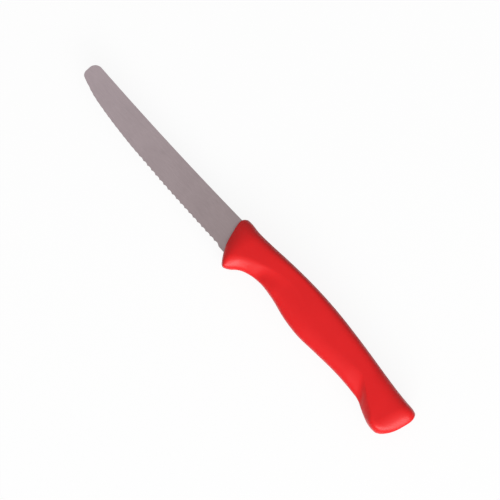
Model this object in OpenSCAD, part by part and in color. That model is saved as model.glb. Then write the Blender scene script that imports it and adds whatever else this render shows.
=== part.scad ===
// Tomato knife: a serrated blade punched from one strip of stainless steel, and a handle moulded round its
// tang. The knife lies on its right side. +X runs from the blade's tip to the handle's butt, +Y from the
// cutting edge to the spine, and +Z out of the left face. The drawing's own zero is where the handle's front
// edge reaches furthest along the blade, on the blade's centre line, and place() moves the drawing into that
// frame.

/* [Blade] */
// Length of the blade in front of the handle
blade_length = 102.8; // [90:0.2:120]
// Height of the blade at the heel, from spine to edge
blade_height = 16.4; // [15:0.1:17]
// Thickness of the steel strip
blade_stock = 1.2; // [1:0.1:1.5]
// Thickness left at the cutting edge by the taper ground on both faces
edge_thickness = 0.45; // [0.3:0.05:0.8]

/* [Serrations] */
// Distance from tooth to tooth
tooth_pitch = 2.98; // [2:0.02:4]
// Depth of the scallops along the rear half of the edge
tooth_depth = 0.5; // [0.3:0.05:0.7]
// Depth of the scallops towards the tip, where they almost fade out
fine_depth = 0.14; // [0.1:0.02:0.3]
// Angle of the ground scallops to the blade's right face
bevel_angle = 20; // [15:1:30]

/* [Tang] */
// Length of the tang inside the handle
tang_length = 96; // [70:1:104]
// Height of the tang
tang_height = 8; // [6:0.5:9]
// Diameter of the holes that the handle's plastic fills
peg_hole_d = 4; // [3:0.5:5]
// Number of holes along the tang
peg_holes = 3; // [1:1:4]

/* [Handle] */
// Length of the handle along the blade's axis
handle_length = 124.2; // [115:0.2:130]
// Greatest thickness of the handle, over the bolster and over the pommel
handle_thickness = 15; // [12:0.5:18]
// Width of the flat front that the blade comes out of
front_width = 7.5; // [5:0.5:9]
// Width of the flat left in the middle of the rounded butt
butt_width = 7.5; // [3:0.5:9]
// Length over which the front is rounded into the sides, at the finger guard
front_round_low = 5; // [4:0.5:8]
// Length over which the front is rounded into the sides, at the back
front_round_top = 12; // [8:0.5:14]
// Length over which the butt is rounded into the sides, at the tip of the hook
butt_round_low = 14.5; // [10:0.5:16]
// Length over which the butt is rounded into the sides, at the back
butt_round_top = 7.5; // [6:0.5:10]

/* [Hidden] */
$fn = 48;

// The lengths and the height that the curves below are drawn for.
drawn_blade = 102.8;
drawn_height = 16.4;
drawn_handle = 124.2;
stretch_blade = blade_length / drawn_blade;
stretch_height = blade_height / drawn_height;
stretch_handle = handle_length / drawn_handle;

// Blade outline, in millimetres in front of the handle (negative) and above the blade's centre line.
spine_low = 4.55;
spine_rise = 0.7;
tip_top_r = 4;
tip_low_r = 2.8;
tip_low_y = -1.2;
tip_turn = 250;
edge_curve = [
    [-98, -4.8], [-93, -6.25], [-83, -7.85], [-73, -8.9], [-63, -9.65], [-53, -10.2],
    [-39, -10.75], [-20, -11.05], [0, -11.15]
];
// The edge leaves the tip's arc edge_start behind the tip, and its first plain_tip has no scallops.
edge_start = 5;
plain_tip = 4;
// Inside the handle the heel ends in a step, and the blade's height narrows to the tang's at the shoulder.
heel_drop = 0.3;
heel_x = 1.5;
inner_x = 7;
shoulder_x = 10;

// Handle rails, in millimetres behind the drawing's zero: the highest and the lowest line of the side view.
top_rail = [
    [1.8, 7.3], [4, 7.45], [9, 7.1], [18, 7.5], [27, 8.3], [39, 9.1], [51, 9.4], [63, 9.1],
    [75, 8.2], [87, 7.0], [99, 5.6], [111, 4.4], [117, 4.05], [121, 3.9], [123, 3.35]
];
low_rail = [
    [8.5, -16.1], [9.7, -16.6], [11.2, -16.1], [13.2, -14.7], [15.2, -12.7], [17.2, -11.3],
    [21, -9.8], [28, -8.7], [36, -9.4], [48, -11.8], [57, -12.6], [69, -11.9], [84, -11.15],
    [94, -11.5], [99.7, -12.15], [105, -14.35], [111, -16.4], [114.7, -16.75], [117.2, -16.3], [118.7, -15.3]
];
// Where the section that starts at a place on the top rail meets the low rail: it leans with the front edge,
// then with the crease in front of the pommel.
foot = [
    [1.8, 8.5], [4, 9.6], [7, 11.2], [10, 13.4], [14, 16.2], [18, 19], [23, 23], [30, 30], [40, 40.5],
    [55, 57], [70, 76], [80, 90], [87, 99.7], [93, 103.5], [100, 107.5], [108, 111.5], [116, 115.5],
    [120, 117.6], [123, 118.7]
];
// Share of the greatest thickness.
fullness = [[1.8, 1], [14, 1], [34, 0.97], [55, 0.985], [82, 0.93], [90, 0.94], [104, 1], [123, 1]];
// Height of the widest line as a share of the section: a ridge that starts low on the guard, runs up over the
// grip's scoop and down again on the flank of the hook.
widest = [
    [1.8, 0.2], [5, 0.24], [8, 0.3], [11, 0.34], [15, 0.38], [21, 0.44], [29, 0.55], [34, 0.6],
    [40, 0.64], [46, 0.6], [55, 0.47], [80, 0.47], [86, 0.5], [90, 0.42], [94, 0.33], [100, 0.26],
    [106, 0.18], [114, 0.25], [123, 0.4]
];
// Share of the half thickness that a slanting facet takes off between the ridge and the low rail, and how far
// the ridge is rounded over, where 0 is a sharp crest.
lost_below = [
    [1.8, 0.1], [6, 0.55], [10, 0.85], [15, 0.88], [20, 0.8], [25, 0.7], [29, 0.4], [33, 0.2],
    [38, 0.13], [48, 0.06], [58, 0], [75, 0], [79, 0.1], [83, 0.35], [87, 0.62], [91, 0.76],
    [95, 0.76], [100, 0.62], [106, 0.35], [112, 0.1], [118, 0], [123, 0]
];
crest = [
    [1.8, 0.8], [8, 0.7], [12, 0.56], [16, 0.44], [20, 0.28], [24, 0.15], [28, 0.08], [80, 0.05],
    [90, 0.12], [100, 0.2], [123, 0.3]
];
// How flat the side is above and below the ridge: 2 is round, and 8 is flat to near the rail.
flat_above = [[1.8, 8], [20, 7], [31, 8], [43, 10], [55, 10], [68, 8], [80, 6.5], [123, 7]];
flat_below = [
    [1.8, 6], [8, 14], [16, 18], [24, 18], [32, 9], [40, 5], [50, 2.8], [57, 2.1], [75, 1.8],
    [84, 1.7], [87, 1.7], [90, 2.6], [94, 6], [103, 5], [110, 3.5], [123, 3]
];
// How round the section is at the rails, and how the rounding of an end starts: below 1 it comes out of the
// flat end smoothly, and at 1 it meets the flat end at an edge.
rail_round = 3;
front_round_power = 0.7;
butt_round_power = 1;
// Bow of the front edge and of the butt, from the straight line between their rails. The powers say how full
// the two bows are below and above half height.
front_bow = 3.5;
front_bow_low = 2;
front_bow_top = 7;
front_bow_share = [[1.8, 1], [9, 0.75], [18, 0.35], [27, 0.08], [34, 0]];
butt_bow = 2.4;
butt_bow_low = 2.4;
butt_bow_top = 4;
butt_bow_share = [[100, 0], [108, 0.15], [116, 0.6], [123, 1]];
ring_start = 1.8;
ring_end = 123;
ring_step = 2.2;
ring_half = 24;
round_step = 15;

// Height of the tang's middle line, the gap between the ground faces and the handle, and the share of a
// scallop's depth that the punched edge stands above the teeth.
tang_y = -0.5;
grind_gap = 0.3;
tooth_land = 0.1;
tooth_facets = 8;
// Size of the cutting bodies past the blade, and how far a cut runs past the outline at least.
far = 40;
spare = 4;

// Value at x of a smooth curve through the [x, value] points p, which runs level before and after them.
function secant(p, i) = (p[i + 1][1] - p[i][1]) / (p[i + 1][0] - p[i][0]);
function tangent(p, i) =
    i == 0 ? secant(p, 0) :
    i == len(p) - 1 ? secant(p, i - 1) :
    let (before = p[i][0] - p[i - 1][0], after = p[i + 1][0] - p[i][0])
    (secant(p, i - 1) * after + secant(p, i) * before) / (before + after);
function span(p, x, i = 0) = i == len(p) - 2 || x < p[i + 1][0] ? i : span(p, x, i + 1);
function hermite(p, i, t) =
    let (h = p[i + 1][0] - p[i][0])
    (2 * t * t * t - 3 * t * t + 1) * p[i][1] + (t * t * t - 2 * t * t + t) * h * tangent(p, i)
    + (3 * t * t - 2 * t * t * t) * p[i + 1][1] + (t * t * t - t * t) * h * tangent(p, i + 1);
function at(p, x) =
    x <= p[0][0] ? p[0][1] :
    x >= p[len(p) - 1][0] ? p[len(p) - 1][1] :
    let (i = span(p, x))
    hermite(p, i, (x - p[i][0]) / (p[i + 1][0] - p[i][0]));

// Handle sections. s is the place on the top rail where a section starts, and w is the height in the section,
// from 0 on the low rail to 1 on the top rail.
function bow(w, low, top) = 1 - pow(abs(2 * w - 1), w < 0.5 ? low : top);
function hypot(a, b) = sqrt(a * a + b * b);
// Share of the thickness left at a distance inward from an end whose flat has a width.
function rounded(inward, low_length, top_length, width, power, w) =
    let (length = low_length + (top_length - low_length) * w, face = width / handle_thickness)
    inward >= length ? 1 : face + (1 - face) * pow(max(0, 1 - pow(1 - inward / length, 2)), power);
function end_share(s, w) =
    min(
        rounded(s - ring_start, front_round_low, front_round_top, front_width, front_round_power, w),
        rounded(ring_end - s, butt_round_low, butt_round_top, butt_width, butt_round_power, w)
    );
function half_thickness(s, w) = handle_thickness / 2 * min(1, at(fullness, s)) * end_share(s, w);
// Point j of a section's side, from the low rail (j = 0) to the top rail (j = ring_half).
function side_point(s, j, side) =
    let (
        turn = 180 * j / ring_half - 90,
        t = abs(sin(turn)),
        r = at(widest, s),
        w = turn < 0 ? r * (1 - t) : r + (1 - r) * t,
        flat = turn < 0 ? at(flat_below, s) : at(flat_above, s),
        kept = turn < 0 ? 1 - at(lost_below, s) * (hypot(t, at(crest, s)) - at(crest, s)) : 1,
        top = [s, at(top_rail, s)],
        low = [at(foot, s), at(low_rail, at(foot, s))],
        front = front_bow * at(front_bow_share, s) * bow(w, front_bow_low, front_bow_top),
        butt = butt_bow * at(butt_bow_share, s) * bow(w, butt_bow_low, butt_bow_top),
        x = low[0] + (top[0] - low[0]) * w - front + butt,
        z = half_thickness(s, w) * kept * pow(1 - pow(t, flat), 1 / rail_round)
    )
    [x * stretch_handle, low[1] + (top[1] - low[1]) * w, j == 0 || j == ring_half ? 0 : side * z];
function ring(s) = [
    for (j = [0:ring_half]) side_point(s, j, 1),
    for (j = [ring_half - 1:-1:1]) side_point(s, j, -1)
];
// Where the sections stand: closer together in the two rounded ends.
front_rings = [for (a = [0:round_step:90 - round_step]) ring_start + front_round_low * (1 - cos(a))];
butt_rings = [for (a = [90:-round_step:0]) ring_end - butt_round_top * (1 - cos(a))];
middle_start = ring_start + front_round_low;
middle_length = ring_end - butt_round_top - middle_start;
middle_rings = ceil(middle_length / ring_step);
middle = [for (i = [0:middle_rings - 1]) middle_start + middle_length * i / middle_rings];
stations = concat(front_rings, middle, butt_rings);
ring_points = 2 * ring_half;

// Highest, lowest and rearmost points of the knife, for the middle of its box.
top_y = max([for (s = stations) at(top_rail, s)]);
low_y = min([for (s = stations) at(low_rail, at(foot, s))]);
butt_x = max([for (p = ring(ring_end)) p[0]]);

// Front edge of the handle, as [x, y] from the low rail to the top rail, moved along by gap.
function front_edge(gap) = [
    for (j = [0:ring_half])
        let (p = side_point(ring_start, j, 1))
        [p[0] + gap, p[1]]
];

// Blade outline. x is in the drawing, and the tip is at -blade_length.
function spine_y(x) =
    let (t = 2 * x / blade_length + 1)
    (spine_low + spine_rise * t * t) * stretch_height;
function edge_y(x) = at(edge_curve, x / stretch_blade) * stretch_height;
// The scallops deepen between these two shares of the blade's length, counted from the handle.
fine_from = 0.62;
deep_from = 0.48;
function depth_at(x) =
    let (share = min(1, max(0, (x / blade_length + fine_from) / (fine_from - deep_from))))
    fine_depth + (tooth_depth - fine_depth) * share * share * (3 - 2 * share);
// Scalloped edge: the first tooth is at the heel, and each scallop is an arc between two teeth.
heel_tooth = 0.7;
function scallop_y(x) =
    let (turn = (heel_tooth - x) / tooth_pitch, t = 2 * (turn - floor(turn)) - 1)
    edge_y(x) + depth_at(x) * (1 - t * t);

arc_step = 12;
function arc(c, r, from, to) =
    let (steps = ceil((to - from) / arc_step))
    [for (i = [0:steps]) let (a = from + (to - from) * i / steps) [c[0] + r * cos(a), c[1] + r * sin(a)]];

tip_x = -blade_length;
tip_top = [tip_x + tip_top_r, spine_y(tip_x + tip_top_r) - tip_top_r];
tip_low = [tip_x + tip_low_r, tip_low_y];
outline_step = 2;
tang_top = tang_y + tang_height / 2;
tang_low = tang_y - tang_height / 2;

// Blade and tang as punched from the strip, before grinding.
module blank_outline() {
    polygon(concat(
        [for (x = [heel_x:-outline_step:tip_x + tip_top_r]) [x, spine_y(x)]],
        arc(tip_top, tip_top_r, 90, 180),
        arc(tip_low, tip_low_r, 180, tip_turn),
        [for (x = [tip_x + edge_start:outline_step:heel_tooth - tooth_pitch])
            [x, edge_y(x) + tooth_land * depth_at(x)]],
        [
            [heel_tooth, edge_y(0) + tooth_land * tooth_depth],
            [heel_x, edge_y(0) - heel_drop],
            [inner_x, edge_y(0) - heel_drop],
            [shoulder_x, tang_low - 1],
            [shoulder_x + 1, tang_low]
        ],
        arc([tang_length - tang_height / 2, tang_y], tang_height / 2, -90, 90),
        [
            [shoulder_x + 1, tang_top],
            [shoulder_x, tang_top + 1],
            [shoulder_x - 1, spine_y(heel_x)]
        ]
    ));
}

// Holes in the tang, evenly spaced.
module peg_holes_outline() {
    spacing = (tang_length - shoulder_x) / peg_holes;
    for (i = [1:peg_holes])
        translate([shoulder_x + spacing * (i - 0.5), tang_y]) circle(d = peg_hole_d);
}

module strip() {
    linear_extrude(height = blade_stock, center = true)
        difference() {
            blank_outline();
            peg_holes_outline();
        }
}

// Steel ground off the left face: the taper from spine to edge, ending just in front of the handle.
spine_level = (spine_low + spine_rise) * stretch_height;
taper_angle = atan((blade_stock - edge_thickness) / 2 / blade_height);
module taper_cut() {
    front = front_edge(-grind_gap);
    intersection() {
        translate([0, spine_level, blade_stock / 2])
            rotate([taper_angle, 0, 0])
                translate([tip_x - far / 2, -far, 0]) cube([blade_length + far, 2 * far, far / 2]);
        linear_extrude(height = far)
            polygon(concat(
                [[tip_x - spare, front[0][1] - spare], [front[0][0], front[0][1] - spare]],
                front,
                [[front[ring_half][0], spine_level + spare], [tip_x - spare, spine_level + spare]]
            ));
    }
}

// Steel ground off the right side of the edge: one slanted cut whose rim is the scalloped line.
facet = tooth_pitch / tooth_facets;
module scallop_cut() {
    first = ceil((blade_length + heel_tooth - plain_tip) / tooth_pitch) * tooth_facets;
    rim = [for (i = [0:first]) let (x = heel_tooth - i * facet) [x, scallop_y(x) * sin(bevel_angle)]];
    translate([0, 0, edge_thickness / 2])
        rotate([90 - bevel_angle, 0, 0])
            translate([0, 0, -far / 2])
                linear_extrude(height = far)
                    polygon(concat(rim, [[rim[first][0], -far / 4], [heel_tooth, -far / 4]]));
}

module place() {
    translate([(blade_length - butt_x) / 2, -(top_y + low_y) / 2, handle_thickness / 2]) children();
}

module blade() {
    color([0.62, 0.59, 0.6])
        place()
            difference() {
                strip();
                taper_cut();
                mirror([0, 0, 1]) taper_cut();
                scallop_cut();
            }
}

// Skin of the handle: rings of points joined by triangles, and each end closed by triangles across its sides.
module handle_body() {
    n = ring_points;
    last = (len(stations) - 1) * n;
    polyhedron(
        points = [for (s = stations) each ring(s)],
        faces = concat(
            [for (i = [0:len(stations) - 2]) for (k = [0:n - 1])
                each [
                    [i * n + k, (i + 1) * n + (k + 1) % n, (i + 1) * n + k],
                    [i * n + k, i * n + (k + 1) % n, (i + 1) * n + (k + 1) % n]
                ]],
            [for (j = [0:ring_half - 1])
                each [
                    if (j < ring_half - 1) [j, n - j - 1, j + 1],
                    if (j > 0) [j, n - j, n - j - 1]
                ]],
            [for (j = [0:ring_half - 1])
                each [
                    if (j < ring_half - 1) [last + j, last + j + 1, last + n - j - 1],
                    if (j > 0) [last + j, last + n - j - 1, last + n - j]
                ]]
        ),
        convexity = 4
    );
}

module handle() {
    color([0.85, 0.13, 0.14])
        place()
            difference() {
                handle_body();
                strip();
            }
}

blade();
handle();
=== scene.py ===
import math

import bmesh
import bpy
from mathutils import Matrix, Vector


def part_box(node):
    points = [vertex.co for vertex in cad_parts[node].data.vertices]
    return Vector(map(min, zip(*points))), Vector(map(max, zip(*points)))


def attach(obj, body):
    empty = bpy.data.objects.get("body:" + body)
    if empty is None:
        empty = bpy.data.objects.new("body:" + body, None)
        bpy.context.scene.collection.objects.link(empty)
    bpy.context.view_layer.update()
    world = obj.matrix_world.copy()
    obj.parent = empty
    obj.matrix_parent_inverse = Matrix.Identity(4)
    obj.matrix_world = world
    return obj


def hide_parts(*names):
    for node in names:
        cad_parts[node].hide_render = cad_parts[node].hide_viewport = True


# Tomato knife lying on its right side: +X runs from the tip of the blade to the butt of the handle, +Y from
# the cutting edge to the spine, and the left side faces up. Sizes are in millimetres unless they have MM.
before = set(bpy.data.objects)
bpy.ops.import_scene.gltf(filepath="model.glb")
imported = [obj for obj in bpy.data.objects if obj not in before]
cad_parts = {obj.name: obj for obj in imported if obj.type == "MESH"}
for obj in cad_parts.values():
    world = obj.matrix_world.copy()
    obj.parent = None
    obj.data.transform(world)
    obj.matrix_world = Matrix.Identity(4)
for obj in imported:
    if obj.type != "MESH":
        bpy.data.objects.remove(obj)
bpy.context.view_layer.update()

# Camera straight above the knife, far off with a long lens, and turned so that the knife lies from upper left
# to lower right. The picture is 500 pixels square and shows about 237 mm.
MM = 0.001
PICTURE_WIDTH = 237.5 * MM
CAMERA_HEIGHT = 1600 * MM
KNIFE_MIDDLE = 7.5 * MM
KNIFE_SLANT = math.radians(47.365)
PICTURE_CENTRE = (1.9 * MM, 2.1 * MM)
SENSOR_WIDTH = 36
VIEW_ENDS = 20

camera_data = bpy.data.cameras.new("camera")
camera_data.sensor_width = SENSOR_WIDTH
camera_data.lens = SENSOR_WIDTH * (CAMERA_HEIGHT - KNIFE_MIDDLE) / PICTURE_WIDTH
camera_data.clip_end = VIEW_ENDS
camera = bpy.data.objects.new("camera", camera_data)
camera.location = (*PICTURE_CENTRE, CAMERA_HEIGHT)
camera.rotation_euler = (0, 0, KNIFE_SLANT)
bpy.context.scene.collection.objects.link(camera)
bpy.context.scene.camera = camera

# Blade: one strip of stainless steel, punched to outline with its tang, ground thinner from spine to edge on
# both faces, and ground into scallops along the edge on its right face only. The plastic of the handle fills
# the tang's three holes.
BLADE_LENGTH = 102.8
BLADE_HEIGHT = 16.4
STRIP = 1.2
EDGE_THICKNESS = 0.45

# The spine is a shallow hollow curve from BACK_START to the tip's two arcs.
SPINE_LOW = 4.55
SPINE_RISE = 0.7
BACK_START, BACK_STEP, BACK_POINTS = 1.5, 3, 34
TIP_TOP_R = 4.0
TIP_TOP_STEPS = 14
TIP_LOW_R = 2.8
TIP_LOW_Y = -1.2
TIP_LOW_TURN = 248
TIP_LOW_STEPS = 10

# The points of the teeth lie on the edge curve. The scallops start PLAIN_TIP from the tip. They are shallow
# there and grow to their full depth between two shares of the blade's length.
EDGE_CURVE = [
    (-98, -4.8), (-93, -6.25), (-83, -7.85), (-73, -8.9), (-63, -9.65), (-53, -10.2),
    (-39, -10.75), (-20, -11.05), (0, -11.15),
]
TOOTH_PITCH = 2.98
TOOTH_DEPTH = 0.5
FINE_DEPTH = 0.14
FINE_FROM, DEEP_FROM = 0.62, 0.48
PLAIN_TIP = 2.5
HEEL_TOOTH = 0.7
TOOTH_STEPS = 10
BEVEL_ANGLE = math.radians(20)
TINY = 1e-9

# Inside the handle the heel ends in a step, the faces turn from the ground slope to the full strip, and the
# blade narrows to the tang at its shoulder.
HEEL = [(1.5, -11.45), (7.0, -11.45), (10.0, -5.5), (11.0, -4.5)]
SLOPE_ENDS, TANG_STARTS = 5.5, 8.5
SHOULDER = [(11.0, 3.5), (10.0, 4.5), (9.0, 5.25)]
SHOULDER_X = 10
TANG_LENGTH = 96
TANG_Y = -0.5
TANG_HEIGHT = 8
TANG_END_STEPS = 12
PEG_HOLE_D = 4
PEG_HOLES = 3
PEG_HOLE_SIDES = 48
PUNCH_LENGTH = 4 * STRIP

# The outline's corners are rounded a little as far as the handle hides them.
CORNER_ROUND = 0.15
ROUNDED_TO = 5
BLADE_SHARP_ANGLE = math.radians(20)

# The drawing's zero is at the foremost point of the handle, on the blade's centre line and middle plane.
TOP_OF_HANDLE = 9.4
blade_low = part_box("blade")[0]
handle_low, handle_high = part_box("handle")
zero = Vector((
    blade_low[0] + BLADE_LENGTH * MM,
    handle_high[1] - TOP_OF_HANDLE * MM,
    (handle_low[2] + handle_high[2]) / 2,
))


def curve_at(points, x):
    """Value at x of a smooth curve through (x, value) points, level before and after them."""
    if x <= points[0][0]:
        return points[0][1]
    if x >= points[-1][0]:
        return points[-1][1]
    i = max(k for k in range(len(points) - 1) if points[k][0] <= x)
    steps = [b[0] - a[0] for a, b in zip(points, points[1:])]
    slopes = [(b[1] - a[1]) / (b[0] - a[0]) for a, b in zip(points, points[1:])]

    def tangent(k):
        if k in (0, len(points) - 1):
            return slopes[min(k, len(slopes) - 1)]
        return (slopes[k - 1] * steps[k] + slopes[k] * steps[k - 1]) / (steps[k - 1] + steps[k])

    t = (x - points[i][0]) / steps[i]
    return (
        (2 * t**3 - 3 * t**2 + 1) * points[i][1]
        + (t**3 - 2 * t**2 + t) * steps[i] * tangent(i)
        + (3 * t**2 - 2 * t**3) * points[i + 1][1]
        + (t**3 - t**2) * steps[i] * tangent(i + 1)
    )


def arc(cx, cy, r, start, end, steps):
    """Points on an arc round (cx, cy) from one angle to another, in degrees."""
    angles = [math.radians(start + (end - start) * i / steps) for i in range(steps + 1)]
    return [(cx + r * math.cos(a), cy + r * math.sin(a)) for a in angles]


def spine_y(x):
    """Height of the spine at x."""
    return SPINE_LOW + SPINE_RISE * (2 * x / BLADE_LENGTH + 1) ** 2


def scallop_y(x):
    """Height of the scalloped edge at x."""
    deep = min(1, max(0, (x / BLADE_LENGTH + FINE_FROM) / (FINE_FROM - DEEP_FROM)))
    depth = FINE_DEPTH + (TOOTH_DEPTH - FINE_DEPTH) * deep * deep * (3 - 2 * deep)
    turn = (HEEL_TOOTH - x) / TOOTH_PITCH
    across = 2 * (turn - math.floor(turn + TINY)) - 1
    return curve_at(EDGE_CURVE, x) + depth * (1 - across * across)


def half_strip(y):
    """Half the thickness of the ground blade at height y."""
    below = SPINE_LOW + SPINE_RISE - y
    return STRIP / 2 - below * (STRIP - EDGE_THICKNESS) / 2 / BLADE_HEIGHT


def bevel_top(y):
    """Height at which a scallop's slope, which starts on the left face at y, leaves the right face."""
    slope = math.tan(BEVEL_ANGLE)
    taper = (STRIP - EDGE_THICKNESS) / 2 / BLADE_HEIGHT
    return y + 2 * half_strip(y) / (slope - taper)


TIP_X = -BLADE_LENGTH
back_columns = [BACK_START - BACK_STEP * i for i in range(BACK_POINTS)]
back_line = [(x, spine_y(x)) for x in back_columns]
tip_line = arc(TIP_X + TIP_TOP_R, spine_y(TIP_X + TIP_TOP_R) - TIP_TOP_R, TIP_TOP_R, 90, 180, TIP_TOP_STEPS)
tip_line += arc(TIP_X + TIP_LOW_R, TIP_LOW_Y, TIP_LOW_R, 180, TIP_LOW_TURN, TIP_LOW_STEPS)
scallops = math.floor((BLADE_LENGTH + HEEL_TOOTH - PLAIN_TIP) / TOOTH_PITCH)
columns = [HEEL_TOOTH - TOOTH_PITCH * i / TOOTH_STEPS for i in range(scallops * TOOTH_STEPS, -1, -1)]
edge_line = [(x, scallop_y(x)) for x in columns]
tang_end = arc(TANG_LENGTH - TANG_HEIGHT / 2, TANG_Y, TANG_HEIGHT / 2, -90, 90, TANG_END_STEPS)
tang_line = HEEL + tang_end + SHOULDER

# The outline is drawn out 1 up and 1 down from the middle plane, and then each of its points is brought to
# half the thickness that the blade has there.
blade_mesh = bmesh.new()
left_rim = [blade_mesh.verts.new((x, y, 1)) for x, y in back_line + tip_line + edge_line + tang_line]
left_face = blade_mesh.faces.new(left_rim)
grown = bmesh.ops.extrude_face_region(blade_mesh, geom=[left_face], use_keep_orig=True)["geom"]
bmesh.ops.translate(blade_mesh, verts=[v for v in grown if isinstance(v, bmesh.types.BMVert)], vec=(0, 0, -2))
lower = {v: next(e.other_vert(v) for e in v.link_edges if e.other_vert(v).co.z < 0) for v in left_rim}
# Two cuts across the hidden part of the blade let the faces turn from the ground slope to the full strip.
for x in (SLOPE_ENDS, TANG_STARTS):
    bmesh.ops.bisect_plane(
        blade_mesh, geom=blade_mesh.verts[:] + blade_mesh.edges[:] + blade_mesh.faces[:],
        plane_co=(x, 0, 0), plane_no=(1, 0, 0),
    )
bmesh.ops.recalc_face_normals(blade_mesh, faces=blade_mesh.faces)
for vert in blade_mesh.verts:
    half = half_strip(vert.co.y) if vert.co.x < TANG_STARTS else STRIP / 2
    vert.co.z *= half

# The punched outline is tumbled, so every corner outside the handle but the cutting edge's is slightly round.
first_column = len(back_line) + len(tip_line)
cutting = left_rim[first_column:first_column + len(edge_line)]
slanted = [lower[v] for v in cutting]
plain = left_rim[:first_column] + left_rim[first_column + len(edge_line):][:2]
rounded = set()
for corner in (set(plain), {lower[v] for v in plain}):
    outside = [v for v in corner if v.co.x < ROUNDED_TO]
    rounded |= {e for v in outside for e in v.link_edges if e.other_vert(v) in corner}
bmesh.ops.bevel(
    blade_mesh, geom=[e for e in blade_mesh.edges if e in rounded], offset=CORNER_ROUND, affect="EDGES",
    segments=3, profile=0.5, material=-1,
)

# On the right face each scallop starts where its slope comes out.
for vert in slanted:
    vert.co.y = bevel_top(vert.co.y)
    vert.co.z = -half_strip(vert.co.y)
for vert in blade_mesh.verts:
    vert.co = zero + vert.co * MM
blade = bpy.data.objects.new("blade_steel", bpy.data.meshes.new("blade_steel"))
blade_mesh.to_mesh(blade.data)
blade_mesh.free()
bpy.context.scene.collection.objects.link(blade)


def cut_out(piece, tool):
    """Take the tool's shape out of the piece's mesh, and split up the many-sided faces that this leaves."""
    cut = piece.modifiers.new("cut", "BOOLEAN")
    cut.operation = "DIFFERENCE"
    cut.solver = "EXACT"
    cut.object = tool
    cut_piece = piece.evaluated_get(bpy.context.evaluated_depsgraph_get())
    split = bmesh.new()
    split.from_mesh(bpy.data.meshes.new_from_object(cut_piece))
    piece.modifiers.clear()
    bmesh.ops.triangulate(split, faces=[face for face in split.faces if len(face.verts) > 4])
    split.to_mesh(piece.data)
    split.free()


# The tang's holes are punched.
punch_mesh = bmesh.new()
spacing = (TANG_LENGTH - SHOULDER_X) / PEG_HOLES
for i in range(PEG_HOLES):
    centre = zero + MM * Vector((SHOULDER_X + spacing * (i + 0.5), TANG_Y, 0))
    bmesh.ops.create_cone(
        punch_mesh, cap_ends=True, segments=PEG_HOLE_SIDES,
        radius1=PEG_HOLE_D / 2 * MM, radius2=PEG_HOLE_D / 2 * MM,
        depth=PUNCH_LENGTH * MM, matrix=Matrix.Translation(centre),
    )
punch = bpy.data.objects.new("punch", bpy.data.meshes.new("punch"))
punch_mesh.to_mesh(punch.data)
punch_mesh.free()
bpy.context.scene.collection.objects.link(punch)
cut_out(blade, punch)
bpy.data.objects.remove(punch)
blade.data.shade_smooth()
blade.data.set_sharp_from_angle(angle=BLADE_SHARP_ANGLE)


def node(tree, kind, inputs=None, **settings):
    """New shader node. inputs maps a socket to its value, or to the output that feeds it."""
    made = tree.nodes.new(kind)
    for name, value in settings.items():
        setattr(made, name, value)
    for name, value in (inputs or {}).items():
        if isinstance(value, bpy.types.NodeSocket):
            tree.links.new(value, made.inputs[name])
        else:
            made.inputs[name].default_value = value
    return made


def new_material(name, piece):
    """Empty node tree of a new material, which becomes the piece's only one."""
    material = bpy.data.materials.new(name)
    material.use_nodes = True
    material.node_tree.nodes.clear()
    piece.data.materials.clear()
    piece.data.materials.append(material)
    return material.node_tree


def new_group(name, inputs, outputs):
    """New node group with its input and output nodes. inputs maps a name to a number, or to None: a vector."""
    tree = bpy.data.node_groups.new(name, "ShaderNodeTree")
    for socket, default in inputs.items():
        kind = "NodeSocketVector" if default is None else "NodeSocketFloat"
        item = tree.interface.new_socket(socket, in_out="INPUT", socket_type=kind)
        if default is not None:
            item.default_value = default
    for socket in outputs:
        tree.interface.new_socket(socket, in_out="OUTPUT", socket_type="NodeSocketFloat")
    return tree, tree.nodes.new("NodeGroupInput"), tree.nodes.new("NodeGroupOutput")


# Handling marks, shared by steel and plastic: soft smudges, and hair-thin scratches in two directions. For
# each direction the scratches have their turn and how much thinner than long they are.
SCRATCH_WAYS = ((0.5, 40.0), (-0.9, 55.0))
marks, marks_in, marks_out = new_group(
    "handling_marks", {"Vector": None, "Smudge Scale": 60.0, "Scratch Scale": 400.0}, ["Smudges", "Scratches"]
)
smudge = node(marks, "ShaderNodeTexNoise", {
    "Vector": marks_in.outputs["Vector"], "Scale": marks_in.outputs["Smudge Scale"],
    "Detail": 3.0, "Roughness": 0.55,
})
smudges = node(marks, "ShaderNodeMapRange", {
    "Value": smudge.outputs["Fac"], "From Min": 0.38, "From Max": 0.68,
})
marks.links.new(smudges.outputs["Result"], marks_out.inputs["Smudges"])
hairs = []
for turn, squeeze in SCRATCH_WAYS:
    turned = node(marks, "ShaderNodeMapping", {
        "Vector": marks_in.outputs["Vector"], "Rotation": (0, 0, turn), "Scale": (1.0, squeeze, 1.0),
    })
    hair = node(marks, "ShaderNodeTexNoise", {
        "Vector": turned.outputs["Vector"], "Scale": marks_in.outputs["Scratch Scale"], "Detail": 1.0,
    })
    thin = node(marks, "ShaderNodeMapRange", {"Value": hair.outputs["Fac"], "From Min": 0.7, "From Max": 0.8})
    hairs.append(thin.outputs["Result"])
scratches = node(marks, "ShaderNodeMath", {0: hairs[0], 1: hairs[1]}, operation="MAXIMUM")
marks.links.new(scratches.outputs["Value"], marks_out.inputs["Scratches"])

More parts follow.
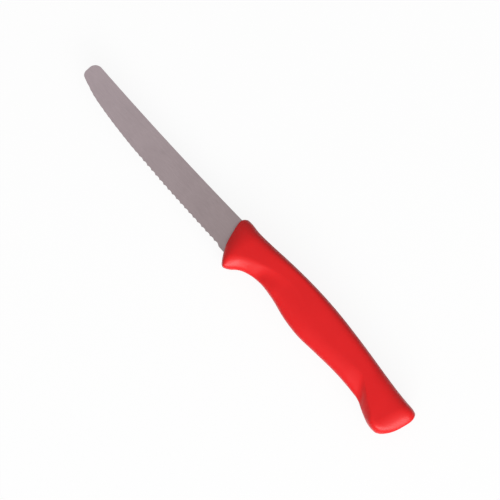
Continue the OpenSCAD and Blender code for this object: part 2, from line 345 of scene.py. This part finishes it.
# Belt-ground steel: a fine grain along the blade, with faint marks of use. The base colour is also painted a
# little brighter towards the tip and darker at the heel: a painted reflection of the gloss changing along the
# blade.
TIP_TONE_PAINTED_LIGHT = (0.394, 0.325, 0.343, 1)
HEEL_TONE_PAINTED_SHADE = (0.314, 0.255, 0.259, 1)
GRAIN_DEPTH = 0.02 * MM
SCRATCH_DEPTH = 0.8
steel = new_material("blade_steel", blade)
spot = node(steel, "ShaderNodeTexCoord").outputs["Object"]
steel_marks = node(steel, "ShaderNodeGroup", {"Vector": spot, "Smudge Scale": 90.0}, node_tree=marks)
stretched = node(steel, "ShaderNodeMapping", {"Vector": spot, "Scale": (1.0, 45.0, 45.0)})
grain = node(steel, "ShaderNodeTexNoise", {
    "Vector": stretched.outputs["Vector"], "Scale": 260.0, "Detail": 4.0,
})
along = node(steel, "ShaderNodeSeparateXYZ", {"Vector": spot})
# Painted reflection: the steel's base colour goes from the darker heel tone to the lighter tip tone.
painted_reflection_towards_tip = node(steel, "ShaderNodeMapRange", {
    "Value": along.outputs["X"], "From Min": zero.x, "From Max": zero.x - BLADE_LENGTH * MM,
})
tone_with_painted_reflection = node(steel, "ShaderNodeMix", {
    "Factor": painted_reflection_towards_tip.outputs["Result"], "A": HEEL_TONE_PAINTED_SHADE, "B": TIP_TONE_PAINTED_LIGHT,
}, data_type="RGBA")
streaks = node(steel, "ShaderNodeMapRange", {"Value": grain.outputs["Fac"], "To Min": 0.75, "To Max": 1.25})
dulled = node(steel, "ShaderNodeMath", {
    0: steel_marks.outputs["Smudges"], 1: -0.05, 2: streaks.outputs["Result"],
}, operation="MULTIPLY_ADD")
tone = node(steel, "ShaderNodeMix", {
    "Factor": 1.0, "A": tone_with_painted_reflection.outputs["Result"], "B": dulled.outputs["Value"],
}, data_type="RGBA", blend_type="MULTIPLY")
gloss = node(steel, "ShaderNodeMapRange", {"Value": grain.outputs["Fac"], "To Min": 0.26, "To Max": 0.41})
worn = node(steel, "ShaderNodeMath", {
    0: steel_marks.outputs["Smudges"], 1: 0.05, 2: gloss.outputs["Result"],
}, operation="MULTIPLY_ADD")
height = node(steel, "ShaderNodeMath", {
    0: steel_marks.outputs["Scratches"], 1: -SCRATCH_DEPTH, 2: grain.outputs["Fac"],
}, operation="MULTIPLY_ADD")
bump = node(steel, "ShaderNodeBump", {
    "Height": height.outputs["Value"], "Strength": 0.25, "Distance": GRAIN_DEPTH,
})
steel_shader = node(steel, "ShaderNodeBsdfPrincipled", {
    "Base Color": tone.outputs["Result"], "Roughness": worn.outputs["Value"],
    "Normal": bump.outputs["Normal"], "Metallic": 1.0,
})
node(steel, "ShaderNodeOutputMaterial", {"Surface": steel_shader.outputs["BSDF"]})

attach(blade, "root")
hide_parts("blade")

# Handle: red plastic moulded in one shot round the tang. A finger guard drops in front of a scooped grip, a
# soft ridge runs back from it, the belly fills the palm, and a crease parts the grip from the flared butt.
HANDLE_THICKNESS = 15
START, END = 1.8, 123

# The highest and the lowest line of the side view, and where the section that starts at a place on the top
# rail meets the low rail: it leans with the front edge, then with the crease in front of the butt.
TOP_RAIL = [
    (1.8, 7.3), (4, 7.45), (9, 7.1), (18, 7.5), (27, 8.3), (39, 9.1), (51, 9.4), (63, 9.1),
    (75, 8.2), (87, 7.0), (99, 5.6), (111, 4.4), (117, 4.05), (121, 3.9), (123, 3.35),
]
LOW_RAIL = [
    (8.5, -16.1), (9.7, -16.6), (11.2, -16.1), (13.2, -14.7), (15.2, -12.7), (17.2, -11.3),
    (21, -9.8), (28, -8.7), (36, -9.4), (48, -11.8), (57, -12.6), (69, -11.9), (84, -11.15),
    (94, -11.5), (99.7, -12.15), (105, -14.35), (111, -16.4), (114.7, -16.75), (117.2, -16.3), (118.7, -15.3),
]
FOOT = [
    (1.8, 8.5), (4, 9.6), (7, 11.2), (10, 13.4), (14, 16.2), (18, 19), (23, 23), (30, 30), (40, 40.5),
    (55, 57), (70, 76), (80, 90), (87, 99.7), (93, 103.5), (100, 107.5), (108, 111.5), (116, 115.5),
    (120, 117.6), (123, 118.7),
]

# Share of the greatest thickness, and height of the widest line as a share of the section: a ridge that
# starts low on the guard, runs up over the grip's scoop and down again on the flank of the butt.
FULLNESS = [(1.8, 1), (14, 1), (34, 0.97), (55, 0.985), (82, 0.93), (90, 0.94), (104, 1), (123, 1)]
WIDEST = [
    (1.8, 0.2), (5, 0.24), (8, 0.3), (11, 0.34), (15, 0.38), (21, 0.44), (29, 0.55), (34, 0.6),
    (40, 0.64), (46, 0.6), (55, 0.47), (80, 0.47), (86, 0.5), (90, 0.42), (94, 0.33), (100, 0.26),
    (106, 0.18), (114, 0.25), (123, 0.4),
]

# Share of the half thickness that a slanting facet takes off between the ridge and the low rail, and how far
# the ridge is rounded over, where 0 is a sharp crest.
LOST_BELOW = [
    (1.8, 0.1), (6, 0.55), (10, 0.85), (15, 0.88), (20, 0.8), (25, 0.7), (29, 0.4), (33, 0.2),
    (38, 0.13), (48, 0.06), (58, 0), (75, 0), (79, 0.1), (83, 0.35), (87, 0.62), (91, 0.76),
    (95, 0.76), (100, 0.62), (106, 0.35), (112, 0.1), (118, 0), (123, 0),
]
CREST = [
    (1.8, 0.8), (8, 0.7), (12, 0.56), (16, 0.44), (20, 0.28), (24, 0.15), (28, 0.08), (80, 0.05),
    (90, 0.12), (100, 0.2), (123, 0.3),
]

# How flat the side is above and below the ridge, where 2 is round and 8 is flat to near the rail, and how
# round the section is at the rails.
FLAT_ABOVE = [(1.8, 8), (20, 7), (31, 8), (43, 10), (55, 10), (68, 8), (80, 6.5), (123, 7)]
FLAT_BELOW = [
    (1.8, 6), (8, 14), (16, 18), (24, 18), (32, 9), (40, 5), (50, 2.8), (57, 2.1), (75, 1.8),
    (84, 1.7), (87, 1.7), (90, 2.6), (94, 6), (103, 5), (110, 3.5), (123, 3),
]
RAIL_ROUND = 3

# Widths of the flat faces of both ends, and the lengths over which they grow to the full thickness, at the
# low and at the top rail. With a power below 1 the rounding comes out of the flat face smoothly, and at 1 it
# meets it at an edge. The butt has a fine round rim.
FRONT_WIDTH = 7.5
BUTT_WIDTH = 7.5
FRONT_ROUND_LOW, FRONT_ROUND_TOP = 5, 12
BUTT_ROUND_LOW, BUTT_ROUND_TOP = 14.5, 7.5
FRONT_ROUND_POWER, BUTT_ROUND_POWER = 0.7, 1.0
BUTT_RIM = 0.5

# Bow of the front edge and of the butt, from the straight line between their rails. The powers say how full
# the two bows are below and above half height.
FRONT_BOW = 3.5
FRONT_BOW_LOW, FRONT_BOW_TOP = 2, 7
FRONT_BOW_SHARE = [(1.8, 1), (9, 0.75), (18, 0.35), (27, 0.08), (34, 0)]
BUTT_BOW = 2.4
BUTT_BOW_LOW, BUTT_BOW_TOP = 2.4, 4
BUTT_BOW_SHARE = [(100, 0), (108, 0.15), (116, 0.6), (123, 1)]

# Sides in half a ring, the step between rings, and the steps over each rounded end.
HALF_RING = 48
RING_STEP = 0.6
END_RINGS = 12

# The mould's parting line, and how near to its plane a point counts as on it.
PARTING_WIDTH = 0.16
PARTING_RISE = 0.08
ON_PLANE = 1e-4
HANDLE_SHARP_ANGLE = math.radians(38)


def end_share(s, height):
    """Share of the thickness that the rounding of both ends leaves at a height in the section at s."""
    share = 1
    for inward, low_length, top_length, width, power in (
        (s - START, FRONT_ROUND_LOW, FRONT_ROUND_TOP, FRONT_WIDTH, FRONT_ROUND_POWER),
        (END - s, BUTT_ROUND_LOW, BUTT_ROUND_TOP, BUTT_WIDTH, BUTT_ROUND_POWER),
    ):
        length = low_length + (top_length - low_length) * height
        if inward < length:
            face = width / HANDLE_THICKNESS
            share = face + (1 - face) * max(0, 1 - (1 - inward / length) ** 2) ** power
    rim = max(0, 1 - (END - s) / BUTT_RIM)
    return share - BUTT_RIM / (HANDLE_THICKNESS / 2) * (1 - math.sqrt(1 - rim**2))


def section(s):
    """Ring of points, up the left side from the low rail to the top rail and down the right side."""
    top = Vector((s, curve_at(TOP_RAIL, s), 0))
    low = Vector((curve_at(FOOT, s), curve_at(LOW_RAIL, curve_at(FOOT, s)), 0))
    half = HANDLE_THICKNESS / 2 * min(1, curve_at(FULLNESS, s))
    middle = curve_at(WIDEST, s)
    lost, crest = curve_at(LOST_BELOW, s), curve_at(CREST, s)
    above, below = curve_at(FLAT_ABOVE, s), curve_at(FLAT_BELOW, s)
    front, butt = curve_at(FRONT_BOW_SHARE, s), curve_at(BUTT_BOW_SHARE, s)
    side = []
    for j in range(HALF_RING + 1):
        turn = math.pi * j / HALF_RING - math.pi / 2
        t = abs(math.sin(turn))
        height = middle * (1 - t) if turn < 0 else middle + (1 - middle) * t
        from_middle = abs(2 * height - 1)
        bow = -front * FRONT_BOW * (1 - from_middle ** (FRONT_BOW_LOW if height < 0.5 else FRONT_BOW_TOP))
        bow += butt * BUTT_BOW * (1 - from_middle ** (BUTT_BOW_LOW if height < 0.5 else BUTT_BOW_TOP))
        z = half * end_share(s, height) * max(0, 1 - t ** (below if turn < 0 else above)) ** (1 / RAIL_ROUND)
        if turn < 0:
            z *= 1 - lost * (math.hypot(t, crest) - crest)
        side.append(low.lerp(top, height) + Vector((bow, 0, 0 if j in (0, HALF_RING) else z)))
    return side + [Vector((p.x, p.y, -p.z)) for p in side[-2:0:-1]]


# Rings lie closer together where an end rounds over, and evenly between.
rounding = [math.radians(90 / END_RINGS * i) for i in range(END_RINGS + 1)]
stations = [START + FRONT_ROUND_LOW * (1 - math.cos(a)) for a in rounding]
straight = END - BUTT_ROUND_TOP - START - FRONT_ROUND_LOW
middle_rings = math.ceil(straight / RING_STEP)
stations += [START + FRONT_ROUND_LOW + straight * i / middle_rings for i in range(1, middle_rings)]
stations += [END - BUTT_ROUND_TOP * (1 - math.cos(a)) for a in rounding[::-1]]

handle_mesh = bmesh.new()
ring = bmesh.ops.create_circle(handle_mesh, segments=2 * HALF_RING, radius=1)["verts"]
ring_edges = handle_mesh.edges[:]
rings = []
for index, s in enumerate(stations):
    if index:
        grown = bmesh.ops.extrude_edge_only(handle_mesh, edges=ring_edges)["geom"]
        ring_edges = [g for g in grown if isinstance(g, bmesh.types.BMEdge)]
        new_verts = {g for g in grown if isinstance(g, bmesh.types.BMVert)}
        ring = [next(e.other_vert(v) for e in v.link_edges if e.other_vert(v) in new_verts) for v in ring]
    for vert, point in zip(ring, section(s)):
        vert.co = point
    rings.append(ring)
for end_ring in (rings[0], rings[-1]):
    bmesh.ops.contextual_create(handle_mesh, geom=end_ring)
    for j in range(1, HALF_RING):
        bmesh.ops.connect_verts(handle_mesh, verts=[end_ring[j], end_ring[-j]])
bmesh.ops.recalc_face_normals(handle_mesh, faces=handle_mesh.faces)

# The two halves of the mould meet on the middle plane and leave a fine raised line round the handle.
for level in (-PARTING_WIDTH / 2, 0, PARTING_WIDTH / 2):
    bmesh.ops.bisect_plane(
        handle_mesh, geom=handle_mesh.verts[:] + handle_mesh.edges[:] + handle_mesh.faces[:],
        dist=ON_PLANE / 10, plane_co=(0, 0, level), plane_no=(0, 0, 1),
    )
handle_mesh.normal_update()
crest_of_line = [(v, v.normal.copy()) for v in handle_mesh.verts if abs(v.co.z) < ON_PLANE]
for vert, outward in crest_of_line:
    vert.co += outward * PARTING_RISE
for vert in handle_mesh.verts:
    vert.co = zero + vert.co * MM

handle = bpy.data.objects.new("handle_moulding", bpy.data.meshes.new("handle_moulding"))
handle_mesh.to_mesh(handle.data)
handle_mesh.free()
bpy.context.scene.collection.objects.link(handle)

# The blade leaves its own pocket in the plastic, with the pegs that stand in the tang's holes.
cut_out(handle, blade)
handle.data.shade_smooth()
handle.data.set_sharp_from_angle(angle=HANDLE_SHARP_ANGLE)

# Red polypropylene: soft gloss from a fine-textured mould, dulled where it was held, with hair scratches.
RED = (0.80, 0.0015, 0.003, 1)
HELD_RED = (0.77, 0.0017, 0.0034, 1)
TEXTURE_DEPTH = 0.02 * MM
plastic = new_material("red_plastic", handle)
spot = node(plastic, "ShaderNodeTexCoord").outputs["Object"]
plastic_marks = node(plastic, "ShaderNodeGroup", {"Vector": spot}, node_tree=marks)
red = node(plastic, "ShaderNodeMix", {
    "Factor": plastic_marks.outputs["Smudges"], "A": RED, "B": HELD_RED,
}, data_type="RGBA")
gloss = node(plastic, "ShaderNodeMapRange", {
    "Value": plastic_marks.outputs["Smudges"], "To Min": 0.32, "To Max": 0.39,
})
worn = node(plastic, "ShaderNodeMath", {
    0: plastic_marks.outputs["Scratches"], 1: 0.12, 2: gloss.outputs["Result"],
}, operation="MULTIPLY_ADD")
skin = node(plastic, "ShaderNodeTexNoise", {"Vector": spot, "Scale": 2600.0, "Detail": 2.0})
height = node(plastic, "ShaderNodeMath", {
    0: plastic_marks.outputs["Scratches"], 1: -SCRATCH_DEPTH, 2: skin.outputs["Fac"],
}, operation="MULTIPLY_ADD")
bump = node(plastic, "ShaderNodeBump", {
    "Height": height.outputs["Value"], "Strength": 0.2, "Distance": TEXTURE_DEPTH,
})
plastic_shader = node(plastic, "ShaderNodeBsdfPrincipled", {
    "Base Color": red.outputs["Result"], "Roughness": worn.outputs["Value"],
    "Normal": bump.outputs["Normal"], "IOR": 1.45, "Specular IOR Level": 0.4,
})
node(plastic, "ShaderNodeOutputMaterial", {"Surface": plastic_shader.outputs["BSDF"]})

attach(handle, "root")
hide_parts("handle")

# Floor: a wide white sheet. The camera sees it lit evenly, with the knife's shadow on it much weakened. In
# the knife's gloss it is white paper in its own light and shade. Otherwise it is dark, so that it hardly
# brightens the knife from below.
FLOOR_WIDTH = 20
SHADOW_LEFT = 0.1
WHITE = (1, 1, 1, 1)
DARK = (0.04, 0.04, 0.04, 1)


def background_rays(tree):
    """1 for the rays that show the background: the camera's, and those off gloss or through glass."""
    rays = node(tree, "ShaderNodeLightPath").outputs
    seen = rays["Is Camera Ray"]
    for kind in ("Is Glossy Ray", "Is Transmission Ray"):
        seen = node(tree, "ShaderNodeMath", {0: seen, 1: rays[kind]}, operation="MAXIMUM").outputs["Value"]
    return seen


bpy.ops.mesh.primitive_plane_add(size=FLOOR_WIDTH)
floor = bpy.context.object
floor.name = "floor"
sheet = new_material("floor_white", floor)
in_camera = node(sheet, "ShaderNodeLightPath").outputs["Is Camera Ray"]
even = node(sheet, "ShaderNodeMath", {0: in_camera, 1: 1 - SHADOW_LEFT}, operation="MULTIPLY")
shade = node(sheet, "ShaderNodeMix", {
    "Factor": background_rays(sheet), "A": DARK, "B": WHITE,
}, data_type="RGBA")
paper = node(sheet, "ShaderNodeBsdfDiffuse", {"Color": shade.outputs["Result"]})
glow = node(sheet, "ShaderNodeEmission", {"Strength": 1.0})
mixed = node(sheet, "ShaderNodeMixShader", {
    0: even.outputs["Value"], 1: paper.outputs["BSDF"], 2: glow.outputs["Emission"],
})
node(sheet, "ShaderNodeOutputMaterial", {"Surface": mixed.outputs["Shader"]})

# Light: a large soft lamp off the butt of the handle, a little to the cutting edge's side, with a halo round
# it, in a pale room that is brighter overhead and on the cutting edge's side. The camera sees the room as
# white, and so does the knife's gloss.
UPPER_SIDE = (0.2, -0.45, 0.85)
ROOM_LOW, ROOM_HIGH = 0.2, 0.56
HALO_SIDE = (0.80, -0.425, 0.423)
HALO_STARTS, HALO = 0.4, 0.75
KEY_PLACE = Vector((1.28, -0.68, 0.68))
KEY_WIDTH, KEY_HEIGHT = 1.8, 0.55
KEY_POWER = 17.4

world = bpy.data.worlds.new("studio")
world.use_nodes = True
room = world.node_tree
room.nodes.clear()
bpy.context.scene.world = world
direction = node(room, "ShaderNodeTexCoord").outputs["Generated"]
overhead = node(room, "ShaderNodeVectorMath", {0: direction, 1: UPPER_SIDE}, operation="DOT_PRODUCT")
level = node(room, "ShaderNodeMapRange", {
    "Value": overhead.outputs["Value"], "From Min": -0.45, "From Max": 1,
    "To Min": ROOM_LOW, "To Max": ROOM_HIGH,
})
near_key = node(room, "ShaderNodeVectorMath", {0: direction, 1: HALO_SIDE}, operation="DOT_PRODUCT")
halo = node(room, "ShaderNodeMapRange", {
    "Value": near_key.outputs["Value"], "From Min": HALO_STARTS, "From Max": 1, "To Min": 0, "To Max": HALO,
}, interpolation_type="SMOOTHSTEP")
both = node(room, "ShaderNodeMath", {0: level.outputs["Result"], 1: halo.outputs["Result"]}, operation="ADD")
strength = node(room, "ShaderNodeMix", {
    "Factor": background_rays(room), "A": both.outputs["Value"], "B": 1.0,
})
sky = node(room, "ShaderNodeBackground", {"Color": WHITE, "Strength": strength.outputs["Result"]})
node(room, "ShaderNodeOutputWorld", {"Surface": sky.outputs["Background"]})

key_data = bpy.data.lights.new("key", "AREA")
key_data.shape = "ELLIPSE"
key_data.size = KEY_WIDTH
key_data.size_y = KEY_HEIGHT
key_data.energy = KEY_POWER
key = bpy.data.objects.new("key", key_data)
key.location = KEY_PLACE
key.rotation_euler = (-KEY_PLACE).to_track_quat("-Z", "Y").to_euler()
key.visible_camera = False
bpy.context.scene.collection.objects.link(key)

bpy.context.scene.view_settings.view_transform = "Standard"
